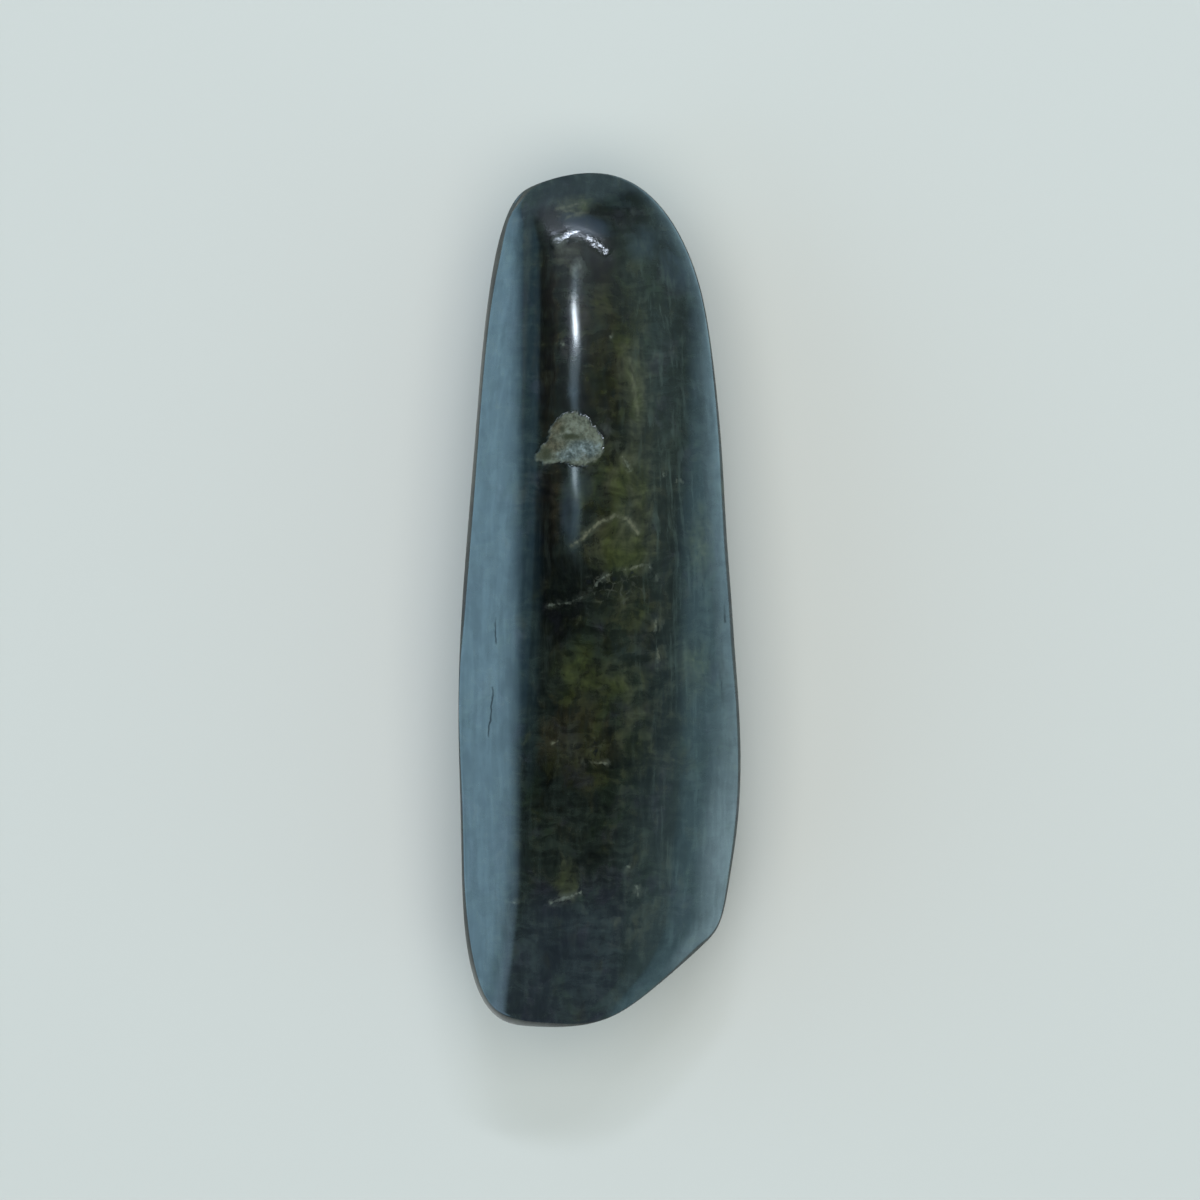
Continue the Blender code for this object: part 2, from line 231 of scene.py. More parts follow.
# Thin lines on the top, each point given by x, y and strength.
MARKED_LINES = {
    "band": [
        [
            (-2.2, 4.1, 0.6), (-1.0, 5.0, 1.0), (0.1, 6.0, 1.0), (1.2, 6.4, 0.6), (2.2, 6.1, 0.8),
            (2.8, 5.0, 1.0),
        ],
        [(-3.4, 29.9, 0.4), (-1.2, 30.5, 0.5)], [(-2.6, 29.2, 0.3), (-1.0, 29.7, 0.4)],
        [(2.2, 18.6, 0.2), (2.6, 16.5, 0.4), (2.8, 14.0, 0.3)],
    ],
    "vein": [
        [
            (-4.3, -0.45, 0.5), (-2.1, -0.1, 0.5), (-1.0, 0.4, 0.3), (0.2, 1.6, 1.0),
            (1.0, 2.1, 0.6),
        ],
        [(1.0, 2.1, 0.6), (2.4, 2.4, 0.5), (3.8, 2.7, 1.0), (4.3, 1.5, 1.0)],
        [
            (4.2, -1.0, 0.3), (4.2, -1.5, 1.0), (4.2, -2.6, 1.0), (4.25, -2.9, 0.5),
            (4.4, -5.2, 0.45),
        ],
        [(4.7, -1.6, 0.7), (4.75, -2.5, 0.7)],
        [(-3.8, -23.0, 1.0), (-3.1, -22.7, 1.0), (-1.4, -22.1, 1.0)],
        [(-6.9, -23.0, 0.9), (-6.2, -22.9, 0.9)], [(-3.6, -10.9, 0.8), (-3.2, -10.7, 0.9)],
        [(-1.4, -12.2, 0.8), (-0.5, -12.4, 0.8), (0.7, -12.2, 0.9)],
        [(1.7, 10.8, 0.8), (2.3, 9.8, 0.9)], [(2.75, -21.6, 0.9), (2.85, -22.5, 1.0)],
        [(0.7, 20.1, 1.1), (0.9, 20.0, 1.1)], [(-3.0, 19.5, 0.9), (-2.8, 19.4, 0.9)],
        [(4.8, 9.6, 0.9), (4.9, 9.4, 0.9)], [(6.2, 9.2, 0.9), (6.3, 8.9, 0.9)],
        [(2.1, -20.1, 1.0), (2.3, -20.2, 1.0)],
    ],
    "crack": [
        [(-7.95, -1.3, 0.5), (-8.0, -2.4, 0.9), (-7.9, -3.3, 0.5)],
        [(-8.15, -6.6, 0.6), (-8.25, -8.4, 1.0), (-8.4, -9.6, 0.8), (-8.5, -10.4, 0.5)],
        [(9.55, -0.4, 0.6), (9.6, -1.7, 0.6)], [(9.3, -6.2, 0.5), (9.35, -7.7, 0.6)],
    ],
    "frost": [
        [(-3.7, 27.2, 0.8), (-2.2, 28.0, 1.0), (-0.9, 27.6, 1.0), (0.7, 26.5, 1.0)],
    ],
}

PHOTO_SIZE = 1200
PIXELS_PER_MM = 13.0
FOCUS_LEVEL = 9.35
LENS = 120.0
SENSOR = 36.0

# Floor and the point that the lamps face, in metres.
FLOOR_SIZE = 6.0
FLOOR_GAP = 0.00002
LAMP_TARGET = (0.0, 0.0, 0.01)


def soft_excess(value, softness):
    """max(value, 0) with its corner rounded over the given length."""
    return softness * np.logaddexp(0.0, value / softness)


def mix(start, end, share):
    """Points a share of the way from start to end."""
    return start + (end - start) * np.asarray(share)[..., None]


def spline_bends(knots, values):
    """Second derivatives of the periodic cubic spline through the values, and the knot steps."""
    count = len(knots)
    steps = np.diff(np.append(knots, knots[0] + 2 * math.pi))
    system = np.zeros((count, count))
    target = np.zeros(count)
    for i in range(count):
        before, after = steps[i - 1], steps[i]
        following = (i + 1) % count
        system[i, i - 1] += before
        system[i, i] += 2 * (before + after)
        system[i, following] += after
        rise, rise_before = values[following] - values[i], values[i] - values[i - 1]
        target[i] = 6 * (rise / after - rise_before / before)
    return np.linalg.solve(system, target), steps


def smooth_round(knots, values):
    """Smooth function of an angle through the values at the knots, all the way round."""
    bends, steps = spline_bends(knots, values)

    def value_at(angle):
        turned = (angle - knots[0]) % (2 * math.pi) + knots[0]
        i = np.searchsorted(knots, turned, side="right") - 1
        j = (i + 1) % len(knots)
        v = (turned - knots[i]) / steps[i]
        u = 1 - v
        bend = ((u**3 - u) * bends[i] + (v**3 - v) * bends[j]) * steps[i] ** 2 / 6
        return u * values[i] + v * values[j] + bend

    return value_at


def closed_curve(points):
    """Smooth closed curve through the points, as a function of the angle round its middle."""
    points = np.array(points)
    middle = (points.max(axis=0) + points.min(axis=0)) / 2
    half_size = (points.max(axis=0) - points.min(axis=0)) / 2
    scaled = (points - middle) / half_size
    knots = np.arctan2(scaled[:, 1], scaled[:, 0]) % (2 * math.pi)
    order = np.argsort(knots)
    reach = smooth_round(knots[order], np.hypot(scaled[:, 0], scaled[:, 1])[order])

    def curve(angle):
        direction = np.stack([np.cos(angle), np.sin(angle)], axis=-1)
        return middle + reach(angle)[..., None] * direction * half_size

    return curve


outline = closed_curve(OUTLINE)
crown_edge = closed_curve(CROWN_EDGE)
back_edge = closed_curve(BACK_EDGE)
pit_edge = closed_curve(PIT_EDGE)
waist_level = smooth_round(*np.array(WAIST_LEVELS).T * [[math.pi / 180], [1]])
RIDGE_LINE = 2 * FACET_SLICES / (FACET_SLICES + CROWN_SLICES) - 1


def ridge_x(y):
    """Where the ridge runs, seen from above."""
    return RIDGE_X - RIDGE_BEND * soft_excess(RIDGE_BEND_START - y, RIDGE_BEND_SOFTNESS)


def crown_height(x, y):
    """Height of the top before its rim is rounded: the dome, with the facet ground off."""
    past_ridge = soft_excess(ridge_x(y) - x, RIDGE_SOFTNESS)
    across = (x + past_ridge - CROWN_X) ** 2 / (2 * CROWN_RADIUS_ACROSS)
    along = (y - CROWN_Y) ** 2 / (2 * CROWN_RADIUS_ALONG)
    return CROWN_TOP - across - along - FACET_SLOPE * past_ridge


def ridge_end(inside, outside):
    """Angle, in degrees, at which the crown's edge crosses the ridge between two angles."""
    for _ in range(30):
        middle = (inside + outside) / 2
        x, y = crown_edge(np.radians(middle))
        if x > ridge_x(y):
            inside = middle
        else:
            outside = middle
    return middle


TOP_RIDGE = ridge_end(90.0, 140.0)
LOW_RIDGE = ridge_end(270.0, 215.0)


def wall_angles(x, y):
    """Angles round the curves of the block's left, right, low and top walls at x and y."""
    line = [-1.0, RIDGE_LINE, 1.0]
    along = (y + 1) / 2
    left = LOW_LEFT + (TOP_LEFT - LOW_LEFT) * along
    right = LOW_RIGHT - 360 + (TOP_RIGHT - LOW_RIGHT + 360) * along
    low = np.interp(x, line, [LOW_LEFT, LOW_RIDGE, LOW_RIGHT])
    top = np.interp(x, line, [TOP_LEFT, TOP_RIDGE, TOP_RIGHT])
    return [np.radians(angle) for angle in (left, right, low, top)]


def fill_curve(curve, x, y):
    """Lay the block's top inside a curve, in two sheets that meet along the ridge."""
    left, right, low, top = (curve(angle) for angle in wall_angles(x, y))
    corners = {}
    for degrees in (LOW_LEFT, LOW_RIDGE, LOW_RIGHT, TOP_LEFT, TOP_RIDGE, TOP_RIGHT):
        corners[degrees] = curve(np.full_like(x, math.radians(degrees)))

    along = (y + 1) / 2
    ridge = mix(corners[LOW_RIDGE], corners[TOP_RIDGE], along)
    low_shift = ridge_x(corners[LOW_RIDGE][:, 1]) * (1 - along)
    top_shift = ridge_x(corners[TOP_RIDGE][:, 1]) * along
    ridge[:, 0] += ridge_x(ridge[:, 1]) - low_shift - top_shift

    facet = x < RIDGE_LINE
    across = np.where(facet, (x + 1) / (RIDGE_LINE + 1), (x - RIDGE_LINE) / (1 - RIDGE_LINE))

    def pick(on_facet, on_crown):
        return np.where(facet[:, None], on_facet, on_crown)

    low_start = pick(corners[LOW_LEFT], corners[LOW_RIDGE])
    low_end = pick(corners[LOW_RIDGE], corners[LOW_RIGHT])
    top_start = pick(corners[TOP_LEFT], corners[TOP_RIDGE])
    top_end = pick(corners[TOP_RIDGE], corners[TOP_RIGHT])
    flat_sheet = mix(mix(low_start, low_end, across), mix(top_start, top_end, across), along)
    return mix(low, top, along) + mix(pick(left, ridge), pick(ridge, right), across) - flat_sheet


def pit_depth(x, y):
    """Depth of the pit below the polished crown; it is negative by as much outside its edge."""
    middle = (np.max(PIT_EDGE, axis=0) + np.min(PIT_EDGE, axis=0)) / 2
    half_size = (np.max(PIT_EDGE, axis=0) - np.min(PIT_EDGE, axis=0)) / 2
    scaled = (np.stack([x, y], axis=1) - middle) / half_size
    angle = np.arctan2(scaled[:, 1], scaled[:, 0])
    reach = np.linalg.norm((pit_edge(angle) - middle) / half_size, axis=1)
    away = np.linalg.norm(scaled, axis=1) / reach
    depth = np.full(len(x), -1.0)
    for i in np.flatnonzero(away < PIT_SURROUNDINGS):
        point = Vector((x[i], y[i], 0.0))
        share = away[i] + PIT_RAGGED * noise.fractal(point * PIT_RAGGED_GRAIN, 1.0, 2.0, 3)
        grain = point * PIT_CRUMBS_GRAIN + Vector((7.0, 3.0, 1.0))
        crumbs = PIT_CRUMBS * noise.fractal(grain, 0.8, 2.1, 4)
        bowl = 1 - share**4
        depth[i] = PIT_DEPTH * bowl + crumbs * min(max(bowl * 2, 0.0), 1.0)
    return depth


def waviness(x, y):
    """Slight unevenness that hand polishing leaves."""
    first = np.sin(0.62 * x + 0.23 * y + 1.1) * np.cos(0.31 * y - 0.44 * x + 0.5)
    second = np.sin(0.97 * y + 0.3 * x + 2.0) * np.cos(0.81 * x + 0.35)
    return WAVE_HEIGHTS[0] * first + WAVE_HEIGHTS[1] * second


def rim(angle, level):
    """Plan and height on a wall: level is 0 at the waist, 1 at the crown and -1 at the back."""
    inner, outer = crown_edge(angle), outline(angle)
    width = np.linalg.norm(outer - inner, axis=1)
    edge = crown_height(inner[:, 0], inner[:, 1])
    beside = mix(inner, outer, np.full(len(angle), SLOPE_STEP))
    fall = (edge - crown_height(beside[:, 0], beside[:, 1])) / SLOPE_STEP
    waist = waist_level(angle)

    climb = np.abs(level) ** 2
    rounding = np.minimum(WAIST_ROUNDING / width, MOST_WAIST_ROUNDING)
    rounded_climb = (np.hypot(climb, rounding) - rounding) / (np.hypot(1.0, rounding) - rounding)
    crown_plan = mix(outer, inner, rounded_climb)
    crown_side = edge - fall * (1 - climb) - (edge - fall - waist) * (1 - climb) ** RIM_POWER

    turn = np.abs(level) * math.pi / 2
    back_plan = mix(back_edge(angle), outer, np.cos(turn) ** (2 / BACK_RIM_POWER))
    back_side = waist * (1 - np.sin(turn) ** (2 / BACK_RIM_POWER))

    above = level > 0
    plan = np.where(above[:, None], crown_plan, back_plan)
    return plan, np.where(above, crown_side, back_side)


def lay_on_stone(x, y, z):
    """Stone's surface at places on a block that reaches from -1 to 1 each way."""
    placed = np.zeros((len(x), 3))
    pit = np.full(len(x), -1.0)

    on_top = z > 1 - 1e-6
    plan = fill_curve(crown_edge, x[on_top], y[on_top])
    pit[on_top] = pit_depth(plan[:, 0], plan[:, 1])
    placed[on_top, :2] = plan
    placed[on_top, 2] = crown_height(plan[:, 0], plan[:, 1]) - np.maximum(pit[on_top], 0.0)

    on_wall = ~on_top
    x, y, z = x[on_wall], y[on_wall], z[on_wall]
    left, right, low, top = wall_angles(x, y)
    angle = np.select([x < -1 + 1e-6, x > 1 - 1e-6, y < -1 + 1e-6], [left, right, low], top)
    placed[on_wall, :2], placed[on_wall, 2] = rim(angle, z)
    lift = np.clip(placed[:, 2] / FOCUS_LEVEL, 0.0, 1.0)
    placed[:, 2] += waviness(placed[:, 0], placed[:, 1]) * lift
    placed[:, :2] *= 1 - FINE_SHRINK
    return placed, pit


def spots(x, y, places):
    """How deep places lie in soft ellipses, each given by x, y, two radii, tilt and strength."""
    depth = np.zeros(len(x))
    for middle_x, middle_y, wide, tall, tilt, strength in places:
        turn = math.radians(tilt)
        right = (x - middle_x) * math.cos(turn) + (y - middle_y) * math.sin(turn)
        up = (y - middle_y) * math.cos(turn) - (x - middle_x) * math.sin(turn)
        distance = np.hypot(right / wide, up / tall)
        depth = np.maximum(depth, strength * np.clip(SPOT_REACH - distance, 0.0, 1.0))
    return depth


def threads(x, y, lines):
    """Signed distance from the nearest line and its strength there, for drawing thin lines."""
    nearest = np.full(len(x), FAR_FROM_LINES)
    strength = np.zeros(len(x))
    for line in lines:
        for i in range(len(line) - 1):
            (start_x, start_y, start), (end_x, end_y, end) = line[i:i + 2]
            step = np.array([end_x - start_x, end_y - start_y])
            length = np.hypot(*step)
            right, up = x - start_x, y - start_y
            along = (right * step[0] + up * step[1]) / length
            share = np.clip(along / length, 0.0, 1.0)
            distance = np.hypot(right - share * step[0], up - share * step[1])
            before = -along if i == 0 else 0.0
            after = along - length if i == len(line) - 2 else 0.0
            beyond = np.maximum(np.maximum(before, after), 0.0)
            end_fading = np.clip(1 - beyond / LINE_END_FADE, 0.0, 1.0)
            fading = end_fading * np.clip(1.6 - distance / LINE_SIDE_FADE, 0.0, 1.0)
            closer = distance < np.abs(nearest)
            side = np.where(step[0] * up > step[1] * right, 1.0, -1.0)
            nearest = np.where(closer, distance * side, nearest)
            strength = np.where(closer, (start + (end - start) * share) * fading, strength)
    return nearest, strength


def painted_masks(placed, pit):
    """Where each kind of marking lies on the stone."""
    x, y, z = placed.T
    front = np.clip((z - MARKED_FROM) / MARKED_FADE, 0.0, 1.0)
    masks = {"pit": np.clip((pit + 0.03) / 0.05, 0.0, 1.0)}
    for name, places in MARKED_PLACES.items():
        masks[name] = spots(x, y, places) * front
    for name, lines in MARKED_LINES.items():
        masks[name + "_side"], masks[name] = threads(x, y, lines)
        masks[name] *= front
    return masks


def block_grid():
    """Lattice points of the block's top and walls, and its quads, each as four such points."""
    counts = (FACET_SLICES + CROWN_SLICES, LENGTH_SLICES, HEIGHT_SLICES)
    sides = [
        (2, counts[2], 0, 1),
        (0, 0, 2, 1),
        (0, counts[0], 1, 2),
        (1, 0, 0, 2),
        (1, counts[1], 2, 0),
    ]
    quads = []
    for axis, level, across, along in sides:
        steps = np.meshgrid(range(counts[across]), range(counts[along]), indexing="ij")
        quad = np.zeros((steps[0].size, 4, 3), dtype=np.int64)
        quad[..., axis] = level
        for corner, (right, up) in enumerate(((0, 0), (1, 0), (1, 1), (0, 1))):
            quad[:, corner, across] = steps[0].ravel() + right
            quad[:, corner, along] = steps[1].ravel() + up
        quads.append(quad)
    lattice, index = np.unique(np.concatenate(quads).reshape(-1, 3), axis=0, return_inverse=True)
    return lattice, index.reshape(-1, 4), counts


def base_ring(lattice, counts):
    """Vertices round the flat base, in order."""
    place = {(x, y): i for i, (x, y, z) in enumerate(lattice.tolist()) if z == 0}
    across, along = counts[0], counts[1]
    ring = [(0, j) for j in range(along)] + [(i, along) for i in range(across)]
    ring += [(across, j) for j in range(along, 0, -1)] + [(i, 0) for i in range(across, 0, -1)]
    return [place[spot] for spot in ring]


def stone_surface():
    """Fine mesh of the whole stone, closed below by its flat back, with its painted masks."""
    lattice, quads, counts = block_grid()
    placed, pit = lay_on_stone(*(lattice / np.array(counts) * 2 - 1).T)
    mesh = bpy.data.meshes.new("diopside_surface")
    mesh.from_pydata((placed * MM).tolist(), [], quads.tolist() + [base_ring(lattice, counts)])
    mesh.validate()
    mesh.shade_smooth()
    for name, values in painted_masks(placed, pit).items():
        layer = mesh.attributes.new(name, "FLOAT", "POINT")
        layer.data.foreach_set("value", values.astype(np.float32))
    return mesh


class Graph:
    """Short ways to add the nodes of a material or a world."""

    def __init__(self, owner):
        owner.use_nodes = True
        self.tree = owner.node_tree
        self.tree.nodes.clear()

    def node(self, kind, inputs=None, **settings):
        made = self.tree.nodes.new("ShaderNode" + kind)
        for name, value in settings.items():
            setattr(made, name, value)
        for key, value in (inputs or {}).items():
            self.feed(made.inputs[key], value)
        return made

    def feed(self, socket, value):
        if isinstance(value, bpy.types.NodeSocket):
            self.tree.links.new(value, socket)
        else:
            socket.default_value = value

    def math(self, operation, *values):
        return self.node("Math", dict(enumerate(values)), operation=operation).outputs[0]

    def vector(self, operation, *values):
        made = self.node("VectorMath", operation=operation)
        for key, value in enumerate(values):
            scale = operation == "SCALE" and key == 1
            self.feed(made.inputs["Scale" if scale else key], value)
        return made.outputs["Value" if operation == "DOT_PRODUCT" else "Vector"]

    def noise(self, place, stretch, detail=2.0, roughness=0.5, distortion=0.0):
        """Clouds between 0 and 1, about 0.5, given by their number in a millimetre each way."""
        inputs = {
            "Vector": self.vector("MULTIPLY", place, stretch),
            "Scale": 1.0,
            "Detail": detail,
            "Roughness": roughness,
            "Distortion": distortion,
        }
        return self.node("TexNoise", inputs).outputs[0]

    def drift(self, place, fineness, reach):
        """Places moved a little, by about the reach, so that straight grain comes out bent."""
        made = self.node("TexNoise", {"Vector": place, "Scale": fineness, "Detail": 2.0})
        shift = self.vector("SUBTRACT", made.outputs["Color"], (0.5, 0.5, 0.5))
        return self.vector("MULTIPLY_ADD", shift, (2 * reach, 2 * reach, 2 * reach), place)

    def ramp(self, value, low, high, low_to=0.0, high_to=1.0, smooth=True):
        kind = "SMOOTHSTEP" if smooth else "LINEAR"
        inputs = {
            "Value": value,
            "From Min": low,
            "From Max": high,
            "To Min": low_to,
            "To Max": high_to,
        }
        return self.node("MapRange", inputs, interpolation_type=kind).outputs[0]

    def grey(self, value):
        return self.node("CombineColor", {0: value, 1: value, 2: value}).outputs[0]

    def blend(self, share, start, end, blend_type="MIX"):
        made = self.node("Mix", data_type="RGBA", blend_type=blend_type)
        for key, value in (("Factor_Float", share), ("A_Color", start), ("B_Color", end)):
            self.feed(next(s for s in made.inputs if s.identifier == key), value)
        return next(s for s in made.outputs if s.identifier == "Result_Color")


def rgb(red, green, blue):
    return (red, green, blue, 1.0)


def stone_material():
    """Polished diopside: near-black green, with olive patches, pale veins and a rough pit, and
    with glow, glint and reflection of the highlights painted in.
    """
    material = bpy.data.materials.new("polished_diopside")
    g = Graph(material)
    place = g.vector("SCALE", g.node("TexCoord").outputs["Object"], 1 / MM)
    mask = {}
    for name in ["pit", *MARKED_PLACES, *MARKED_LINES, *(line + "_side" for line in MARKED_LINES)]:
        mask[name] = g.node("Attribute", attribute_name=name).outputs["Fac"]

    bent = g.drift(place, 0.35, 0.9)
    clouds = g.noise(bent, (0.34, 0.20, 0.34), 3.0, 0.5)
    tints = g.noise(bent, (0.42, 0.30, 0.42), 3.0, 0.55, 0.4)
    hues = g.noise(g.vector("ADD", bent, (31.0, 17.0, 5.0)), (0.40, 0.26, 0.40), 3.0, 0.55, 0.4)
    soft = g.noise(bent, (0.9, 0.6, 0.9), 3.0, 0.5)
    mottle = g.noise(bent, (1.5, 1.0, 1.5), 4.0, 0.6)
    strokes = g.noise(bent, (0.5, 1.9, 0.5), 3.0, 0.6)
    fibre = g.noise(g.drift(place, 0.25, 0.35), (2.0, 0.13, 2.0), 4.0, 0.6)
    flecks = g.noise(bent, (2.6, 1.8, 2.6), 3.0, 0.6)
    fine_edge = g.math("SUBTRACT", mottle, 0.5)
    edge = g.math("MULTIPLY_ADD", g.math("SUBTRACT", soft, 0.5), 2.2, fine_edge)

    def spread(name, low, high, unevenness=1.0):
        """A painted mask with edges broken up by the stone's mottling."""
        return g.ramp(g.math("MULTIPLY_ADD", edge, unevenness, mask[name]), low, high)

    # Ground: cool green-black, warm brown-black or grey-green, with navy and green clouds.
    warm = g.math("MAXIMUM", spread("warm", 0.2, 0.9), g.ramp(clouds, 0.60, 0.74, 0.0, 0.6))
    ground = g.blend(warm, rgb(0.0058, 0.0080, 0.0060), rgb(0.0085, 0.0070, 0.0038))
    ground = g.blend(spread("slate", 0.2, 1.0, 0.6), ground, rgb(0.0080, 0.0120, 0.0115))
    ground = g.blend(g.ramp(tints, 0.52, 0.68, 0.0, 0.75), ground, rgb(0.0098, 0.0098, 0.0122))
    ground = g.blend(g.ramp(hues, 0.53, 0.70, 0.0, 0.5), ground, rgb(0.0075, 0.0120, 0.0055))
    # Paler stone, and a painted glow of the arc highlight at the pale place just under it.
    ground = g.blend(spread("pale", 0.1, 1.1, 0.8), ground, rgb(0.0200, 0.0215, 0.0145))
    light = g.ramp(mottle, 0.28, 0.72, 0.70, 1.3)
    light = g.math("MULTIPLY", light, g.ramp(clouds, 0.3, 0.7, 0.6, 1.5))
    light = g.math("MULTIPLY", light, g.ramp(strokes, 0.3, 0.7, 0.6, 1.5))
    light = g.math("MULTIPLY", light, g.ramp(spread("dark", 0.2, 0.9), 0.0, 1.0, 1.0, 0.3))
    color = g.blend(1.0, ground, g.grey(light), "MULTIPLY")
    # Bluish reflection and highlight haze, painted into the colour at the blue places.
    blue = g.math("MULTIPLY", spread("blue", 0.1, 1.1, 0.5), g.ramp(mask["blue"], 0.0, 0.4))
    color = g.blend(blue, color, rgb(0.0150, 0.0240, 0.0330))

    # Fibres along the stone, strongest on the right.
    strands = g.ramp(mask["fibrous"], 0.0, 0.9, 0.15, 0.75)
    strands = g.math("MULTIPLY", strands, g.ramp(soft, 0.35, 0.6, 0.35, 1.0))
    pale_strands = g.math("MULTIPLY", g.ramp(fibre, 0.50, 0.68), strands)
    dark_strands = g.math("MULTIPLY", g.ramp(fibre, 0.47, 0.34), strands)
    color = g.blend(pale_strands, color, rgb(0.031, 0.043, 0.037))
    color = g.blend(dark_strands, color, rgb(0.006, 0.009, 0.010))

    # Olive patches, greener and yellower in places.
    olive = g.blend(g.ramp(hues, 0.38, 0.60), rgb(0.031, 0.033, 0.016), rgb(0.028, 0.033, 0.009))
    shade = g.ramp(mottle, 0.28, 0.70, 0.5, 1.25)
    shade = g.math("MULTIPLY", shade, g.ramp(strokes, 0.3, 0.7, 0.75, 1.25))
    olive = g.blend(1.0, olive, g.grey(shade), "MULTIPLY")
    amount = spread("olive", -0.1, 1.2, 0.45)
    amount = g.math("MAXIMUM", amount, g.ramp(clouds, 0.60, 0.80, 0.0, 0.25))
    color = g.blend(g.math("MULTIPLY", amount, 0.95), color, olive)

    # Net of thin threads round small dark cells.
    cells = g.node("TexVoronoi", {"Vector": bent, "Scale": 1.25}, feature="DISTANCE_TO_EDGE")
    net = cells.outputs["Distance"]
    threaded = g.math("MULTIPLY", g.ramp(flecks, 0.40, 0.64), spread("tangled", 0.3, 1.0))
    inside = g.math("MULTIPLY", g.ramp(net, 0.12, 0.32), threaded)
    color = g.blend(inside, color, rgb(0.004, 0.005, 0.006))
    thread = g.math("MULTIPLY", g.ramp(net, 0.10, 0.02, 0.0, 0.5), threaded)
    color = g.blend(thread, color, rgb(0.045, 0.048, 0.038))

    # Pale glow of the highlights painted in as patches, then soft olive bands and veins, each a
    # bright broken core in a faint wide haze.
    painted_glow = spread("painted_glow", 0.0, 1.0, 0.7)
    painted_glow = g.math("MULTIPLY", painted_glow, g.ramp(mask["painted_glow"], 0.0, 0.3))
    painted_glow = g.math("MULTIPLY", painted_glow, g.ramp(flecks, 0.35, 0.65, 0.5, 1.0))
    color = g.blend(painted_glow, color, rgb(0.085, 0.095, 0.083))
    wander = g.math("SUBTRACT", g.noise(place, (0.9, 0.9, 0.9), 3.0, 0.55), 0.5)
    offset = g.math("ABSOLUTE", g.math("MULTIPLY_ADD", wander, 0.7, mask["band_side"]))
    broken = g.math("MULTIPLY", mask["band"], g.ramp(flecks, 0.35, 0.62, 0.25, 1.0))
    around = g.math("MULTIPLY", g.ramp(offset, 0.55, 0.05, 0.0, 0.5), broken)
    color = g.blend(around, color, rgb(0.066, 0.072, 0.046))
    middle = g.math("MULTIPLY", g.ramp(offset, 0.20, 0.02, 0.0, 0.9), broken)
    color = g.blend(middle, color, rgb(0.105, 0.103, 0.066))
    offset = g.math("ABSOLUTE", g.math("MULTIPLY_ADD", wander, 0.5, mask["vein_side"]))
    width = g.ramp(flecks, 0.35, 0.68, -0.06, 0.12)
    core = g.ramp(g.math("SUBTRACT", offset, width), 0.13, -0.05)
    core = g.math("MULTIPLY", core, spread("vein", 0.2, 1.0))
    core = g.math("MULTIPLY", core, g.ramp(mottle, 0.38, 0.58, 0.4, 1.0))
    haze = g.math("MULTIPLY", mask["vein"], g.ramp(mottle, 0.42, 0.62, 0.0, 0.30))
    haze = g.math("MULTIPLY", g.ramp(offset, 0.50, 0.05), haze)
    pale = g.blend(warm, rgb(0.082, 0.092, 0.074), rgb(0.090, 0.090, 0.060))
    color = g.blend(g.math("MAXIMUM", core, haze), color, pale)

    # Rough pit: pale, with a tan side; its grey-blue lower part with bright crumbs is a painted
    # glint of the highlight crossing it, and painted shade darkens a dent in its middle and its
    # left tip.
    crumbs = g.noise(place, (2.0, 2.0, 2.0), 5.0, 0.70)
    raw = g.blend(g.ramp(crumbs, 0.34, 0.60), rgb(0.050, 0.055, 0.040), rgb(0.120, 0.130, 0.098))
    # Painted glint of the highlight on the pit's lower part: grey-blue, with bright crumbs.
    cool = g.blend(g.ramp(crumbs, 0.36, 0.60), rgb(0.036, 0.048, 0.048), rgb(0.105, 0.130, 0.128))
    raw = g.blend(g.ramp(mask["glint"], 0.0, 0.9, 0.0, 0.85), raw, cool)
    bright = g.ramp(mask["glint"], 0.0, 1.0, 0.15, 0.9)
    bright = g.math("MULTIPLY", g.ramp(crumbs, 0.52, 0.68), bright)
    raw = g.blend(bright, raw, rgb(0.185, 0.225, 0.235))
    tan = g.blend(g.ramp(crumbs, 0.36, 0.62), rgb(0.036, 0.033, 0.021), rgb(0.085, 0.078, 0.049))
    raw = g.blend(spread("tan", 0.0, 1.0, 0.8), raw, tan)
    raw = g.blend(spread("shade", 0.1, 1.0, 0.8), raw, rgb(0.030, 0.034, 0.020))
    color = g.blend(mask["pit"], color, raw)

    # Hairline cracks.
    offset = g.math("ABSOLUTE", g.math("MULTIPLY_ADD", wander, 0.45, mask["crack_side"]))
    crack = g.math("MULTIPLY", g.ramp(offset, 0.10, 0.02), spread("crack", 0.2, 1.0, 0.6))
    color = g.blend(crack, color, rgb(0.004, 0.005, 0.005))

    # Relief: soft waves of the polish, and the roughness of the frosted band and of the pit.
    waves = g.math("MULTIPLY", g.noise(place, (0.9, 0.9, 0.9), 2.0), 0.0018)
    rough = g.noise(place, (5.5, 5.5, 5.5), 4.0, 0.65)
    sparkle = g.noise(place, (2.3, 2.3, 2.3), 3.0, 0.6)
    frosted = g.ramp(g.math("ABSOLUTE", mask["frost_side"]), 0.7, 0.2)
    frosted = g.math("MULTIPLY", frosted, mask["frost"])
    relief = g.math("MULTIPLY_ADD", rough, g.math("MULTIPLY", mask["pit"], 0.10), waves)
    relief = g.math("MULTIPLY_ADD", sparkle, g.math("MULTIPLY", frosted, 0.022), relief)
    bump = g.node("Bump", {"Strength": 1.0, "Distance": MM, "Height": relief}).outputs[0]

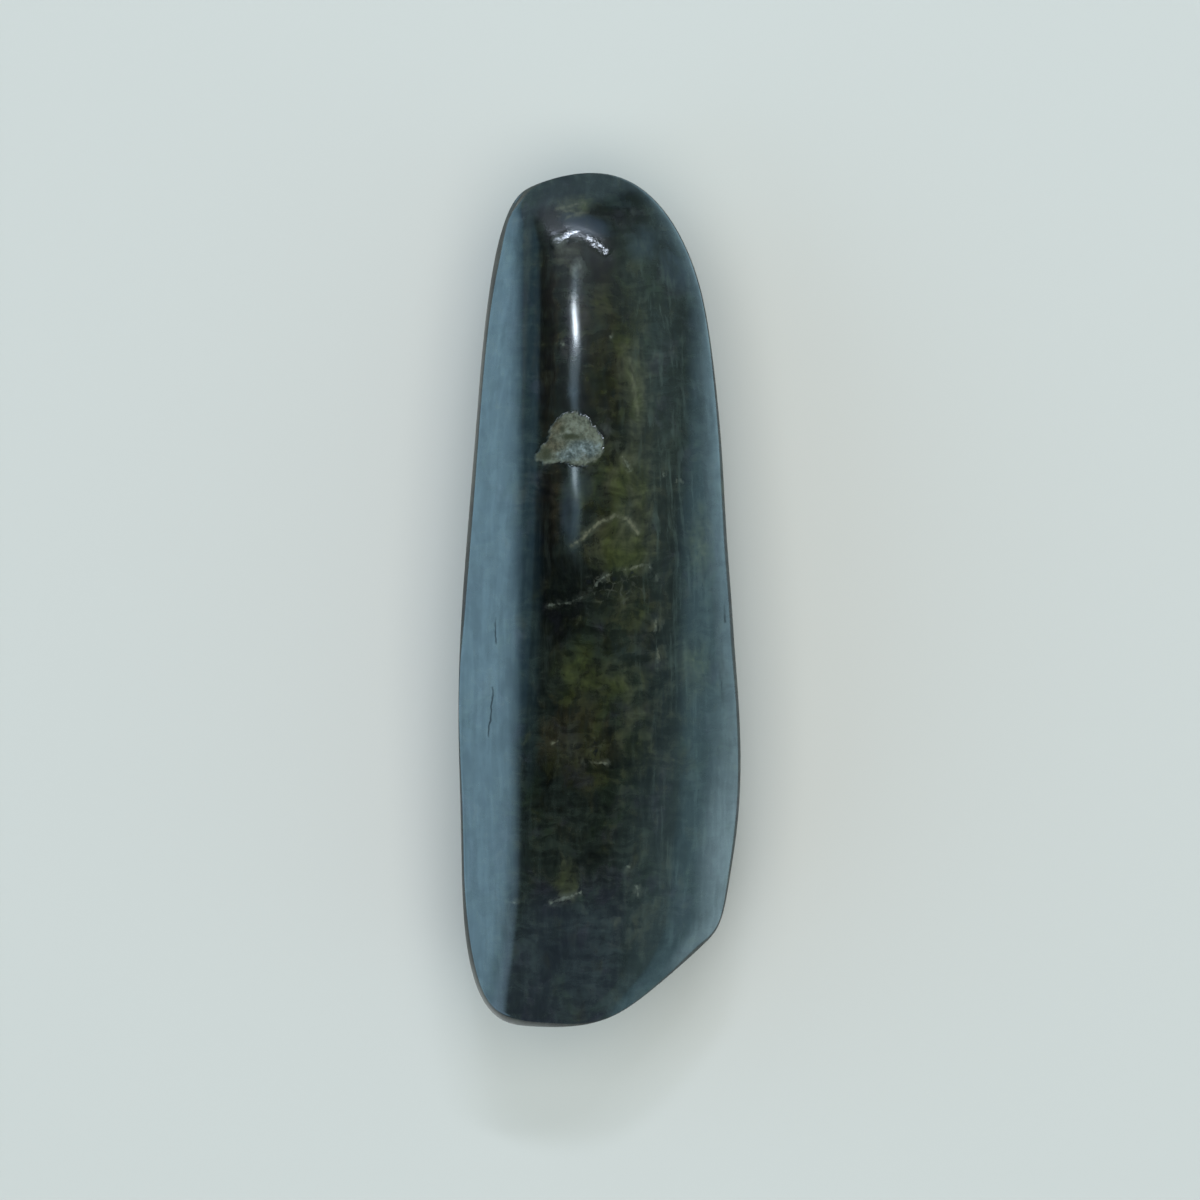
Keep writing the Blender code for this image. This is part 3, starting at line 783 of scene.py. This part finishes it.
    # The polish is a little duller in thin streaks, broken into beads in the frosted band, and
    # gone in the pit and the cracks.
    film = g.ramp(fibre, 0.42, 0.62, 0.88, 1.0)
    film = g.math("MULTIPLY", film, g.ramp(soft, 0.36, 0.56, 0.88, 1.0))
    beads = g.ramp(g.noise(place, (3.0, 2.4, 3.0), 2.0), 0.38, 0.58, 0.87, 0.0)
    film = g.math("MULTIPLY", film, g.math("SUBTRACT", 1.0, g.math("MULTIPLY", frosted, beads)))
    worn = g.math("MAXIMUM", mask["pit"], g.math("MULTIPLY", crack, 0.8))
    shader = g.node("BsdfPrincipled", {
        "Base Color": color,
        "Roughness": g.ramp(mask["pit"], 0.0, 1.0, 0.28, 0.8, smooth=False),
        "IOR": 1.5,
        "Specular IOR Level": 0.12,
        "Normal": bump,
        "Coat Weight": g.math("MULTIPLY", film, g.math("SUBTRACT", 1.0, worn)),
        "Coat Roughness": 0.085,
        "Coat IOR": 1.68,
        "Coat Normal": bump,
    })
    out = g.node("OutputMaterial")
    g.tree.links.new(shader.outputs[0], out.inputs["Surface"])
    return material


def make_stone():
    stone = bpy.data.objects.new("diopside_surface", stone_surface())
    bpy.context.scene.collection.objects.link(stone)
    stone.data.materials.append(stone_material())
    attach(stone, "root")
    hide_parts(NODE)


def make_floor():
    """Plain pale floor, just under the flat back."""
    bpy.ops.mesh.primitive_plane_add(size=FLOOR_SIZE, location=(0.0, 0.0, -FLOOR_GAP))
    floor = bpy.context.object
    floor.name = "floor"
    material = bpy.data.materials.new("pale_floor")
    g = Graph(material)
    shader = g.node("BsdfPrincipled", {"Base Color": rgb(0.50, 0.49, 0.46), "Roughness": 0.9})
    out = g.node("OutputMaterial")
    g.tree.links.new(shader.outputs[0], out.inputs["Surface"])
    floor.data.materials.append(material)
    floor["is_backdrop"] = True


def area_light(name, place, size, radiance, shape="RECTANGLE", roll=0.0):
    """Flat light that faces the stone, given by the radiance that it shows."""
    data = bpy.data.lights.new(name, "AREA")
    data.shape = shape
    data.size, data.size_y = size
    strongest = max(radiance)
    data.color = [channel / strongest for channel in radiance]
    filled = math.pi / 4 if shape == "ELLIPSE" else 1.0
    data.energy = strongest * math.pi * size[0] * size[1] * filled
    lamp = bpy.data.objects.new(name, data)
    lamp.location = place
    facing = (Vector(LAMP_TARGET) - Vector(place)).to_track_quat("-Z", "Y")
    lamp.rotation_euler = (facing @ Quaternion((0.0, 0.0, 1.0), math.radians(roll))).to_euler()
    lamp.visible_camera = False
    bpy.context.scene.collection.objects.link(lamp)
    return lamp


def make_lights():
    streaks = [
        ("streak_lamp", (0.0, 0.430, 0.922), (0.031, 0.050), (34.0, 38.0, 42.0)),
        ("streak_glow", (0.0, 0.41, 0.93), (0.075, 0.20), (0.7, 1.05, 1.3)),
        ("streak_tail", (0.0, 0.26, 0.97), (0.060, 0.20), (0.12, 0.22, 0.29)),
        ("spot_lamp", (0.0, 0.250, 0.968), (0.030, 0.070), (5.0, 6.2, 7.0)),
        ("spot_glow", (0.0, 0.215, 0.977), (0.085, 0.150), (0.20, 0.34, 0.42)),
    ]
    for name, place, size, radiance in streaks:
        area_light(name, place, size, radiance, "ELLIPSE")
    arcs = [
        ("arc_lamp_left", (-0.085, 0.617, 0.779), (0.17, 0.065), (20.0, 23.0, 28.0), 14.0),
        ("arc_lamp_right", (0.095, 0.629, 0.776), (0.34, 0.048), (32.0, 36.0, 42.0), -10.0),
    ]
    for name, place, size, radiance, roll in arcs:
        area_light(name, place, size, radiance, roll=roll)
    fill = area_light("overhead_fill", (0.0, -0.1, 1.4), (1.6, 1.6), (2.75, 2.70, 2.50))
    fill.visible_glossy = False


def make_world():
    """Dim room, nearly dark overhead, with soft bluish bright regions round it.

    Each has the direction of its middle, and the cosines of the angles from it at which the
    region starts and is full. These numbers weren't chosen by hand: a separate optimiser fitted
    them to the photo's reflections, and only left_far_low was dimmed by hand afterwards.
    """
    world = bpy.data.worlds.new("room")
    bpy.context.scene.world = world
    g = Graph(world)
    toward = g.node("TexCoord").outputs["Generated"]
    walls = [
        ("left_near_high", (-0.76, -0.45, 0.46), 0.94, 0.98, rgb(1.04, 1.64, 2.18)),
        ("left_far_high", (-0.73, 0.34, 0.60), 0.89, 0.93, rgb(0.17, 0.36, 0.51)),
        ("left_window", (-0.95, 0.15, -0.27), 0.50, 0.97, rgb(1.53, 2.66, 3.43)),
        ("right_far_low", (0.57, 0.41, -0.71), 0.31, 0.87, rgb(2.85, 4.63, 5.53)),
        ("right_far_high", (0.66, 0.41, 0.63), 0.88, 1.00, rgb(0.27, 0.40, 0.38)),
        ("right_window", (0.92, -0.37, -0.13), 0.63, 0.81, rgb(0.48, 0.86, 1.02)),
        ("right_window_middle", (0.95, -0.31, 0.01), 0.92, 1.00, rgb(1.84, 2.75, 3.15)),
        ("right_near_high", (0.66, -0.48, 0.58), 0.80, 1.00, rgb(0.33, 0.53, 0.59)),
        ("left_far_low", (-0.42, 0.64, -0.64), 0.02, 0.11, rgb(0.36, 0.56, 0.67)),
        ("near_wall", (0.01, -0.99, -0.13), 0.13, 0.18, rgb(0.16, 0.23, 0.32)),
        ("right_overhead", (0.57, 0.06, 0.82), 0.93, 0.97, rgb(0.08, 0.13, 0.11)),
        ("left_overhead", (-0.56, 0.12, 0.82), 0.95, 0.99, rgb(0.06, 0.14, 0.20)),
    ]
    color = rgb(0.012, 0.016, 0.016)
    for name, middle, start, full, radiance in walls:
        share = g.ramp(g.vector("DOT_PRODUCT", toward, middle), start, full)
        share.node.label = name
        color = g.blend(share, color, radiance, "LIGHTEN")
    background = g.node("Background", {"Color": color})
    out = g.node("OutputWorld")
    g.tree.links.new(background.outputs[0], out.inputs["Surface"])


def make_camera():
    """Straight above the stone, +Y up in the picture, framed as in the photograph."""
    field = PHOTO_SIZE / PIXELS_PER_MM * MM
    data = bpy.data.cameras.new("camera")
    data.lens = LENS
    data.sensor_width = SENSOR
    data.sensor_fit = "HORIZONTAL"
    camera = bpy.data.objects.new("camera", data)
    camera.location = (0.0, 0.0, FOCUS_LEVEL * MM + field * LENS / SENSOR)
    bpy.context.scene.collection.objects.link(camera)
    bpy.context.scene.camera = camera


make_stone()
make_floor()
make_lights()
make_world()
make_camera()
bpy.context.scene.view_settings.view_transform = "Standard"

boxes = {"cad": CAD_BOX, "visual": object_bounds()}
{name: [list(corner) for corner in box] for name, box in boxes.items()}
